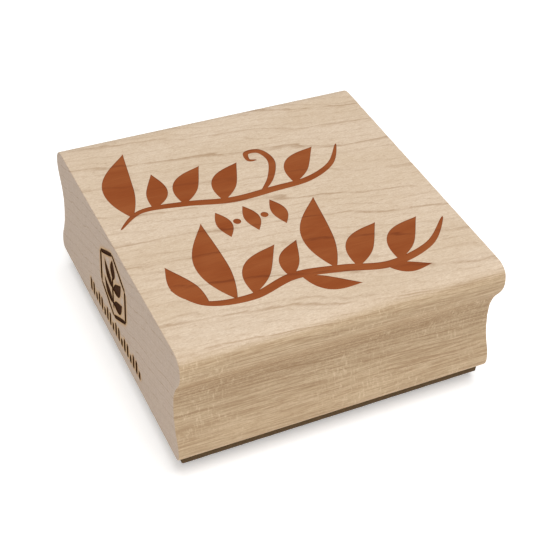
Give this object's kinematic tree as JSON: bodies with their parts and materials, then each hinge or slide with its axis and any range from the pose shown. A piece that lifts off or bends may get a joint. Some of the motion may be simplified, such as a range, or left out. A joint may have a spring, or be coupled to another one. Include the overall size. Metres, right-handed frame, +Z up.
{
  "type": "wood-mounted rubber stamp",
  "caption": "Square maple block with finger grooves, a leafy index image cut in its top, and a cushioned relief rubber die underneath.",
  "frame": {"origin": "middle of the block's footprint, on the plane of the die's printing surface", "axes": "+Z up from the printing surface to the block's top, +X along the wood grain and the finger grooves, -Y the front grooved side"},
  "size_m": [0.0502, 0.0514, 0.0236],
  "materials": {
    "maple": "bare sanded hard maple, pale cream with fine brown growth lines along X, the cut ornament burned warm brown",
    "adhesive": "thin double-sided adhesive film",
    "foam": "dark closed-cell cushion foam, matte",
    "rubber": "dark grey-brown engraved rubber, matte"
  },
  "bodies": {
    "block": {"wood_mount": "maple", "mounting_film": "adhesive", "foam_cushion": "foam"},
    "die": {"die_film": "adhesive", "rubber_die": "rubber"}
  },
  "joints": [
    {"name": "cushion_press", "type": "slide", "parent": "block", "child": "die", "axis": [0, 0, 1], "range_m": [0, 0.0003], "stiffness_N_per_m": 100000, "deforming": ["foam_cushion"]}
  ]
}
